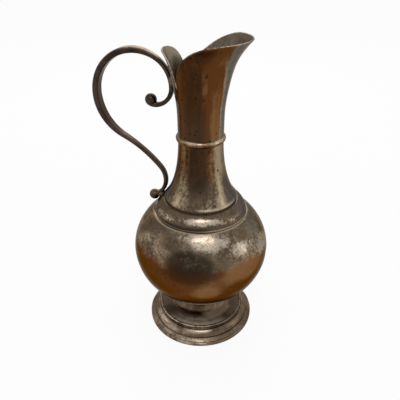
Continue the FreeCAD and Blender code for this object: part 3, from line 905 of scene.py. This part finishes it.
def turned_tree():
    """Turns an outline about the axis; its walls wander a little, but stay true where they rest."""
    tree = Tree("Turned wall", {"Segments": "Int", "Dent Depth": "Float", "Dent Size": "Float",
                                "Seed": "Float", "Material": "Material"})
    given = tree.given
    outline = tree.node("GeometryNodeMeshToCurve", inputs={"Mesh": given["Geometry"]})
    circle = tree.node("GeometryNodeCurvePrimitiveCircle",
                       inputs={"Resolution": given["Segments"], "Radius": CORE})
    wall = tree.node("GeometryNodeCurveToMesh", inputs={"Curve": circle, "Profile Curve": outline})
    wall = tree.node("GeometryNodeMergeByDistance", inputs={"Geometry": wall, "Distance": TOUCH})
    scale = tree.node("ShaderNodeMath", {"operation": "DIVIDE"}, {0: 1.0, 1: given["Dent Size"]})
    place = tree.node("GeometryNodeInputPosition")
    noise = tree.node("ShaderNodeTexNoise", {"noise_dimensions": "4D"},
                      {"Vector": place, "W": given["Seed"], "Scale": scale, "Detail": 2.0})
    swing = tree.node("ShaderNodeMapRange", inputs={"Value": noise, "From Min": 0.25, "From Max": 0.75,
                                                    "To Min": -1.0, "To Max": 1.0})
    height = tree.node("ShaderNodeSeparateXYZ", inputs={0: place}, output="Z")
    lifted = tree.node("ShaderNodeMapRange",
                       inputs={"Value": height, "From Min": TRUE_BELOW, "From Max": DENTED_ABOVE})
    depth = given["Dent Depth"] * swing * lifted
    normal = tree.node("GeometryNodeInputNormal")
    offset = tree.node("ShaderNodeVectorMath", {"operation": "SCALE"}, {0: normal, "Scale": depth})
    tree.finish(tree.node("GeometryNodeSetPosition", inputs={"Geometry": wall, "Offset": offset}))
    return tree


def scroll_tree():
    """Sweeps a flat oval strap along a path and puts a ball on each end."""
    tree = Tree("Swept scroll", {"Width": "Float", "Thickness": "Float", "Upper Ball": "Float",
                                 "Upper End": "Vector", "Lower Ball": "Float", "Lower End": "Vector",
                                 "Material": "Material"})
    given = tree.given
    corner = 0.46
    path = tree.node("GeometryNodeMeshToCurve", inputs={"Mesh": given["Geometry"]})
    path = tree.node("GeometryNodeSetCurveNormal", {"mode": "FREE"},
                     {"Curve": path, "Normal": (0.0, 1.0, 0.0)})
    section = tree.node("GeometryNodeCurvePrimitiveQuadrilateral",
                        inputs={"Width": given["Width"], "Height": given["Thickness"]})
    section = tree.node("GeometryNodeFilletCurve", {"mode": "POLY"},
                        {"Curve": section, "Count": 8, "Radius": given["Thickness"] * corner,
                         "Limit Radius": True})
    section = tree.node("GeometryNodeResampleCurve", inputs={"Curve": section, "Count": 44})
    swell, breadth = (tree.node("GeometryNodeInputNamedAttribute", {"data_type": "FLOAT"}, {"Name": name})
                      for name in ("swell", "breadth"))
    strap = tree.node("GeometryNodeCurveToMesh",
                      inputs={"Curve": path, "Profile Curve": section, "Scale": swell, "Fill Caps": True})
    factor = tree.node("ShaderNodeCombineXYZ", inputs={"X": 1.0, "Y": breadth, "Z": 1.0})
    place = tree.vector("MULTIPLY", tree.node("GeometryNodeInputPosition"), factor)
    strap = tree.node("GeometryNodeSetPosition", inputs={"Geometry": strap, "Position": place})
    joined = tree.node("GeometryNodeJoinGeometry", inputs={0: strap})
    for end in ("Upper", "Lower"):
        ball = tree.node("GeometryNodeMeshUVSphere",
                         inputs={"Segments": 48, "Rings": 32, "Radius": given[end + " Ball"]})
        ball = tree.node("GeometryNodeTransform",
                         inputs={"Geometry": ball, "Translation": given[end + " End"]})
        tree.feed(joined.socket.node.inputs[0], ball)
    tree.finish(joined)
    return tree


# Pieces

def placed(name, mesh):
    """A new object of that mesh, at the origin."""
    mesh.name = name
    obj = bpy.data.objects.new(name, mesh)
    bpy.context.scene.collection.objects.link(obj)
    return obj


def facing_out(obj):
    """Merges doubles and turns every face outwards."""
    work = bmesh.new()
    work.from_mesh(obj.data)
    bmesh.ops.remove_doubles(work, verts=work.verts, dist=TOUCH)
    bmesh.ops.recalc_face_normals(work, faces=work.faces)
    work.to_mesh(obj.data)
    work.free()


def settle(obj, node):
    """Puts a finished piece in the place of a CAD node."""
    facing_out(obj)
    if not obj.data.polygons:
        raise RuntimeError(obj.name + " has no faces")
    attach(obj, "root")
    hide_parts(node)


def outline_mesh(points):
    """The outline as a closed loop of edges, laid out for the turning tree."""
    mesh = bpy.data.meshes.new("outline")
    count = len(points)
    mesh.from_pydata([(radius - CORE, -height, 0.0) for radius, height in points],
                     [(index, (index + 1) % count) for index in range(count)], [])
    return mesh


def turned_piece(name, points, material, dents, seed, gap=1.2 * MM):
    """A turned piece from its outline; dents is how strongly its wall wanders."""
    body = bpy.context.scene.pitcher.body
    return turned_tree().run(name, outline_mesh(spread(points, gap)),
                             {"Segments": 256, "Dent Depth": body.dent_depth * dents,
                              "Dent Size": body.dent_size, "Seed": seed, "Material": material})


def natural_spline(knots, values):
    """The smooth curve through values at knots, as a function."""
    count = len(knots)
    steps = [after - before for before, after in zip(knots, knots[1:])]
    slopes = [(after - before) / step for before, after, step in zip(values, values[1:], steps)]
    diagonal = [1.0] * count
    bends = [0.0] * count
    for index in range(1, count - 1):
        share = steps[index - 1] / diagonal[index - 1] if index > 1 else 0.0
        diagonal[index] = 2 * (steps[index - 1] + steps[index]) - share * steps[index - 1]
        bends[index] = 6 * (slopes[index] - slopes[index - 1]) - share * bends[index - 1]
    for index in range(count - 2, 0, -1):
        bends[index] = (bends[index] - steps[index] * bends[index + 1]) / diagonal[index]

    def curve(at):
        index = max(0, min(count - 2, sum(1 for knot in knots if knot <= at) - 1))
        step = steps[index]
        left = (knots[index + 1] - at) / step
        right = (at - knots[index]) / step
        bow = (left ** 3 - left) * bends[index] + (right ** 3 - right) * bends[index + 1]
        return left * values[index] + right * values[index + 1] + bow * step * step / 6

    return curve


class MouthForm:
    """Outer radius and rim height of the mouth by direction; 0 is the lip and pi the back.

    In millimetres, land is the height above the joint at which the wall starts to curve, flare the
    height and radius of its last knot below the rim, and past_rim how far the next one lies above it.
    """
    land = 2.3
    flare = (60.4, 26.3)
    past_rim = 1.3
    side_steps = 600

    def __init__(self, size, throat):
        self.size = size
        self.joint = MOUTH[0][2]
        self.rim = size.rim_height
        self.height = self.rim - self.joint
        rim_radius = size.rim_radius / MM
        slope = (rim_radius - self.flare[1]) / (self.height / MM - self.flare[0])
        knots = ((self.land, throat / MM), (12.5, 17.55), (22.7, 17.9), (38.0, 20.0), (50.2, 22.5),
                 self.flare, (73.1, rim_radius + self.past_rim * slope))
        self.mean = natural_spline([height * MM for height, _ in knots], [radius * MM for _, radius in knots])
        dip = (-size.dip_reach / MM, -size.dip_drop / MM)
        tab = -size.tab_drop / MM
        self.rims = self.side_curve((80.0, 0.0), (40.0, 0.2), (23.6, 0.0), (0.0, -6.1), (-10.7, -17.4), dip)
        self.rims += self.side_curve(dip, (-18.6, -18.0), (-25.7, -8.9), (-30.0, tab), (-40.0, tab))

    def side_curve(self, *points):
        """The rim in side view, by its distance from the axis and its height against the lip."""
        runs = [0.0]
        for start, end in zip(points, points[1:]):
            runs.append(runs[-1] + math.dist(start, end))
        along = natural_spline(runs, [x * MM for x, _ in points])
        up = natural_spline(runs, [self.rim + z * MM for _, z in points])
        stations = [runs[-1] * step / self.side_steps for step in range(self.side_steps + 1)]
        return [(along(station), up(station)) for station in stations]

    def radius(self, angle, height):
        """The wall's outer radius, which leaves the round above the waist."""
        size = self.size
        rise = max(0.0, height - size.waist_height) / (self.height - size.waist_height)
        pull = size.lip_pull * math.cos(angle) + size.lip_oval * math.cos(2 * angle)
        pull -= size.lip_point * math.cos(3 * angle)
        return self.mean(max(height, self.land * MM)) + rise ** 2 * pull

    def rim_height(self, angle):
        """Where the wall meets the rim's side view, on the lip's side or the tab's."""
        def off(spot):
            return abs(self.radius(angle, spot[1] - self.joint) * math.cos(angle) - spot[0])

        return min(self.rims, key=off)[1]


def mouth_mesh(size, throat):
    """The flared wall with a rounded rim."""
    form = MouthForm(size, throat)
    columns = 360
    rows = 72
    curl = 6
    far_side = 93.0
    far_width = 45.0
    half = size.wall / 2
    angles = [2 * math.pi * column / columns for column in range(columns)]
    rims = [form.rim_height(min(angle, 2 * math.pi - angle)) - half for angle in angles]
    sags = [eased(1.0 - abs(math.degrees(angle) - far_side) / far_width) for angle in angles]
    rims = [rim - size.far_sag * sag for rim, sag in zip(rims, sags)]
    rims = [(rims[i - 1] + 2 * rims[i] + rims[(i + 1) % columns]) / 4 for i in range(columns)]

    def ring(inset, step):
        line = []
        for angle, rim in zip(angles, rims):
            height = (rim - form.joint) * step / rows
            radius = form.radius(angle, height) - inset
            line.append(Vector((radius * math.cos(angle), radius * math.sin(angle), form.joint + height)))
        return line

    def rolled(swing):
        line = []
        for index, (out, into) in enumerate(zip(outer[-1], inner[-1])):
            middle = (out + into) / 2
            along = outer[-1][(index + 1) % columns] - outer[-1][index - 1]
            up = along.cross(into - out).normalized()
            if up.z < 0:
                up = -up
            line.append(middle + (out - middle) * math.cos(swing) + up * half * math.sin(swing))
        return line

    outer = [ring(0.0, step) for step in range(rows + 1)]
    inner = [ring(size.wall, step) for step in range(rows + 1)]
    rings = outer + [rolled(math.pi * step / curl) for step in range(1, curl)] + inner[::-1]
    vertices = [tuple(point) for line in rings for point in line]
    faces = []
    for low in range(len(rings)):
        high = (low + 1) % len(rings)
        for index in range(columns):
            after = (index + 1) % columns
            faces.append((low * columns + index, low * columns + after,
                          high * columns + after, high * columns + index))
    mesh = bpy.data.meshes.new("mouth")
    mesh.from_pydata(vertices, [], faces)
    inside = mesh.attributes.new("inside", "FLOAT", "POINT")
    edge = mesh.attributes.new("rim", "FLOAT", "POINT")
    for index in range(len(vertices)):
        row = index // columns
        inside.data[index].value = float(row > rows + curl // 2)
        edge.data[index].value = float(rows < row < rows + curl)
    mesh.shade_smooth()
    return mesh


def eased(share):
    """A share, kept between 0 and 1 and eased in and out."""
    share = min(1.0, max(0.0, share))
    return share * share * (3 - 2 * share)


def scroll_points(size):
    """Points along the scroll, up and down from its outermost one, with the strap's size at each."""
    above = ((34.8, -53.5), (32.1, -63.2), (25.2, -62.7), (14.1, -71.5), (8.8, -60.0))
    below = ((37.6, 61.9), (105.4, -21.2), (17.6, -89.6), (12.0, -26.0))
    pitch = 0.8
    tip_run = 9.0
    place = complex(-size.reach, size.height)
    seat = size.fit * cmath.exp(1j * size.tilt)

    def sized(grip_size, end_size, tip_size, grip, tip):
        return end_size + (grip_size - end_size) * grip + (tip_size - end_size) * tip

    def chain(heading, arcs, full, taper):
        run, point, result = 0.0, 0j, []
        for radius, bend in arcs:
            count = math.ceil(radius * math.radians(abs(bend)) / pitch)
            part = math.radians(bend) / count
            way = math.copysign(radius, bend)
            for _ in range(count):
                result.append((run, point, heading))
                point += way * (cmath.exp(1j * (heading + part)) - cmath.exp(1j * heading)) / 1j
                heading += part
                run += radius * abs(part)
        result.append((run, point, heading))
        stations = []
        for run, point, heading in result:
            grip = eased((full + taper - run) / taper)
            tip = eased((run + tip_run - result[-1][0]) / tip_run)
            thick = sized(size.grip_thickness, size.end_thickness, size.tip_thickness, grip, tip)
            wide = sized(size.grip_width, size.end_width, size.tip_width, grip, tip)
            swell = thick / size.grip_thickness
            stations.append((place + seat * point * MM, heading + size.tilt, swell,
                             wide / size.grip_width / swell))
        return stations

    upper = chain(math.pi / 2, above, full=40.0, taper=40.0)
    lower = chain(-math.pi / 2, below, full=5.0, taper=55.0)
    return upper, lower


# Operators

class PITCHER_OT_foot(bpy.types.Operator):
    """Make the stepped foot and the solder that holds it to the bowl"""
    bl_idname = "pitcher.foot"
    bl_label = "Foot"

    def execute(self, context):
        size = context.scene.pitcher.foot
        outline = soften(foot_outline(size), size.rounding)
        foot = turned_piece("spun_foot", outline, foot_finish(), dents=1.6, seed=1.0, gap=0.9 * MM)
        settle(foot, "foot")
        outline = soften(solder_outline(), size.rounding)
        bead = turned_piece("solder_under_bowl", outline, solder_finish("foot solder", 14.0),
                            dents=0.8, seed=2.0, gap=0.4 * MM)
        settle(bead, "foot_solder")
        return {"FINISHED"}


class PITCHER_OT_bowl(bpy.types.Operator):
    """Make the two halves of the bowl"""
    bl_idname = "pitcher.bowl"
    bl_label = "Bowl"

    def execute(self, context):
        size = context.scene.pitcher.body
        finish = bowl_finish()
        for half, outline in (("lower_bowl", lower_bowl_outline), ("upper_bowl", upper_bowl_outline)):
            wall = turned_piece("spun_" + half, outline(size), finish, dents=1.0, seed=3.0)
            settle(wall, half)
        return {"FINISHED"}


class PITCHER_OT_shoulder(bpy.types.Operator):
    """Make the convex band on the shoulder"""
    bl_idname = "pitcher.shoulder"
    bl_label = "Shoulder band"

    def execute(self, context):
        size = context.scene.pitcher.body
        outline = soften(band_outline(size), size.band_rounding, SHARP)
        band = turned_piece("spun_shoulder_band", outline, band_finish(), dents=0.7, seed=4.0, gap=0.8 * MM)
        settle(band, "shoulder_band")
        return {"FINISHED"}


class PITCHER_OT_neck(bpy.types.Operator):
    """Make the neck and the ring over its joint"""
    bl_idname = "pitcher.neck"
    bl_label = "Neck and ring"

    def execute(self, context):
        size = context.scene.pitcher.body
        outline = soften(neck_outline(size), size.neck_rounding, SHARP)
        settle(turned_piece("spun_neck", outline, neck_finish(), dents=0.8, seed=5.0), "neck")
        outline = soften(ring_outline(size), size.ring_rounding, SHARP)
        ring = turned_piece("ring_over_joint", outline, ring_finish(), dents=0.6, seed=6.0, gap=0.5 * MM)
        settle(ring, "neck_ring")
        return {"FINISHED"}


class PITCHER_OT_mouth(bpy.types.Operator):
    """Make the flared mouth with its lip, dips and tab"""
    bl_idname = "pitcher.mouth"
    bl_label = "Mouth"

    def execute(self, context):
        pitcher = context.scene.pitcher
        mesh = mouth_mesh(pitcher.mouth, pitcher.body.neck_throat)
        mesh.materials.append(mouth_finish())
        settle(placed("raised_mouth", mesh), "mouth")
        return {"FINISHED"}


class PITCHER_OT_handle(bpy.types.Operator):
    """Make the scroll handle with its ball ends"""
    bl_idname = "pitcher.handle"
    bl_label = "Handle"

    def execute(self, context):
        size = context.scene.pitcher.handle
        upper, lower = scroll_points(size)
        path = upper[::-1] + lower[1:]
        carrier = bpy.data.meshes.new("scroll")
        carrier.from_pydata([(point.real, 0.0, point.imag) for point, _, _, _ in path],
                            [(index, index + 1) for index in range(len(path) - 1)], [])
        swell = carrier.attributes.new("swell", "FLOAT", "POINT")
        breadth = carrier.attributes.new("breadth", "FLOAT", "POINT")
        for index, (_, _, thick, wide) in enumerate(path):
            swell.data[index].value = thick
            breadth.data[index].value = wide
        end, heading, _, _ = upper[-1]
        upper_ball = end + size.ball_lift * cmath.exp(1j * (heading - math.pi / 2))
        lower_ball = lower[-1][0]
        handle = scroll_tree().run("scroll_handle", carrier, {
            "Width": size.grip_width, "Thickness": size.grip_thickness,
            "Upper Ball": size.upper_ball, "Upper End": (upper_ball.real, 0.0, upper_ball.imag),
            "Lower Ball": size.lower_ball, "Lower End": (lower_ball.real, 0.0, lower_ball.imag),
            "Material": handle_finish()})
        settle(handle, "handle")
        return {"FINISHED"}


class PITCHER_OT_solder(bpy.types.Operator):
    """Finish the solder that holds the handle's ends"""
    bl_idname = "pitcher.solder"
    bl_label = "Handle solder"

    def execute(self, context):
        finish = solder_finish("handle solder", 61.0)
        for node in ("upper_handle_solder", "lower_handle_solder"):
            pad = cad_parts[node]
            pad.data.materials.clear()
            pad.data.materials.append(finish)
        return {"FINISHED"}


def lamp(name, azimuth, elevation, brightness, size, tint):
    """A soft rectangular lamp, placed by the directions it lights from; azimuth 0 is -Y, 90 is +X."""
    target = Vector((0.0, 0.0, 0.12))
    distance = 1.2
    light = bpy.data.lights.new(name, "AREA")
    light.energy = brightness * math.pi * size[0] * size[1]
    light.shape = "RECTANGLE"
    light.size, light.size_y = size
    light.color = tint
    turn, tip = math.radians(azimuth), math.radians(elevation)
    way = Vector((math.sin(turn) * math.cos(tip), -math.cos(turn) * math.cos(tip), math.sin(tip)))
    obj = bpy.data.objects.new(name, light)
    obj.location = target + distance * way
    obj.rotation_euler = way.to_track_quat("Z", "Y").to_euler()
    obj.visible_camera = False
    bpy.context.scene.collection.objects.link(obj)


def backdrop_share(nodes, most):
    """How far the white backdrop shows: to the camera, in metal and through glass, but not as light."""
    camera = nodes.node("ShaderNodeLightPath", output="Is Camera Ray")
    seen = camera.sum("MAXIMUM", camera.other("Is Glossy Ray"))
    seen = seen.sum("MAXIMUM", camera.other("Is Transmission Ray"))
    return seen * most


class PITCHER_OT_stage(bpy.types.Operator):
    """Make the pale floor, the studio light and the camera"""
    bl_idname = "pitcher.stage"
    bl_label = "Stage"

    def execute(self, context):
        scene = context.scene
        scene.view_settings.view_transform = "Standard"
        self.floor()
        self.world(scene)
        self.camera(scene)
        lamp("key", azimuth=20.0, elevation=54.5, brightness=5.5, size=(0.55, 0.18), tint=(1.0, 0.98, 0.95))
        lamp("left", azimuth=-70.0, elevation=22.0, brightness=1.3, size=(0.26, 0.32), tint=(1.0, 0.94, 0.85))
        lamp("right", azimuth=92.0, elevation=10.0, brightness=1.5, size=(0.18, 0.90), tint=(1.0, 0.98, 0.94))
        lamp("back", azimuth=195.0, elevation=32.0, brightness=3.0, size=(0.80, 0.30), tint=(1.0, 0.98, 0.95))
        return {"FINISHED"}

    def camera(self, scene):
        """The camera at the photograph's place, which looks down a little."""
        downward = 30.59
        camera = bpy.data.cameras.new("camera")
        camera.sensor_width = 36.0
        camera.lens = 38.816
        camera.clip_start = 0.01
        eye = bpy.data.objects.new("camera", camera)
        eye.location = (0.0792, -0.29557, 0.30124)
        eye.rotation_euler = (math.radians(90.0 - downward), 0.0, math.radians(15.126))
        scene.collection.objects.link(eye)
        scene.camera = eye

    def floor(self):
        """A pale disc just under the foot, which keeps the shadow."""
        work = bmesh.new()
        bmesh.ops.create_circle(work, cap_ends=True, radius=4.0, segments=96)
        mesh = bpy.data.meshes.new("floor")
        work.to_mesh(mesh)
        work.free()
        floor = placed("floor", mesh)
        floor.location.z = -0.2 * MM
        material = bpy.data.materials.new("floor")
        material.use_nodes = True
        nodes = Nodes(material.node_tree)
        shader = nodes.tree.nodes["Principled BSDF"]
        nodes.feed(shader.inputs["Base Color"], (0.92, 0.92, 0.92))
        nodes.feed(shader.inputs["Roughness"], 0.9)
        nodes.feed(shader.inputs["Specular IOR Level"], 0.0)
        white = nodes.node("ShaderNodeEmission", inputs={"Strength": 1.0})
        mixed = nodes.node("ShaderNodeMixShader", inputs={
            0: backdrop_share(nodes, 0.90), 1: Field(nodes, shader.outputs[0]), 2: white})
        nodes.feed(nodes.tree.nodes["Material Output"].inputs["Surface"], mixed)
        mesh.materials.append(material)

    def world(self, scene):
        """Even light from all round, with a white backdrop."""
        world = bpy.data.worlds.new("studio")
        world.use_nodes = True
        nodes = Nodes(world.node_tree)
        tint = nodes.mix(backdrop_share(nodes, 1.0), (0.75, 0.75, 0.75), (1.0, 1.0, 1.0))
        nodes.feed(nodes.tree.nodes["Background"].inputs["Color"], tint)
        scene.world = world


class PITCHER_PT_panel(bpy.types.Panel):
    """Lists the pitcher's settings and pieces"""
    bl_idname = "PITCHER_PT_panel"
    bl_label = "Pitcher"
    bl_space_type = "VIEW_3D"
    bl_region_type = "UI"
    bl_category = "Pitcher"

    def draw(self, context):
        for part in PitcherSettings.__annotations__:
            group = getattr(context.scene.pitcher, part)
            box = self.layout.box()
            for name in group.__annotations__:
                box.prop(group, name)
        for operator in OPERATORS:
            self.layout.operator(operator.bl_idname)


OPERATORS = (PITCHER_OT_foot, PITCHER_OT_bowl, PITCHER_OT_shoulder, PITCHER_OT_neck, PITCHER_OT_mouth,
             PITCHER_OT_handle, PITCHER_OT_solder, PITCHER_OT_stage)
GROUPS = (PitcherFoot, PitcherBody, PitcherMouth, PitcherHandle, PitcherColours, PitcherSettings)


def register():
    for kind in GROUPS + OPERATORS + (PITCHER_PT_panel,):
        bpy.utils.register_class(kind)
    bpy.types.Scene.pitcher = bpy.props.PointerProperty(type=PitcherSettings)


def unregister():
    del bpy.types.Scene.pitcher
    for kind in reversed(GROUPS + OPERATORS + (PITCHER_PT_panel,)):
        bpy.utils.unregister_class(kind)


def main():
    register()
    bpy.ops.pitcher.foot()
    bpy.ops.pitcher.bowl()
    bpy.ops.pitcher.shoulder()
    bpy.ops.pitcher.neck()
    bpy.ops.pitcher.mouth()
    bpy.ops.pitcher.handle()
    bpy.ops.pitcher.solder()
    bpy.ops.pitcher.stage()


if __name__ == "__main__":
    main()
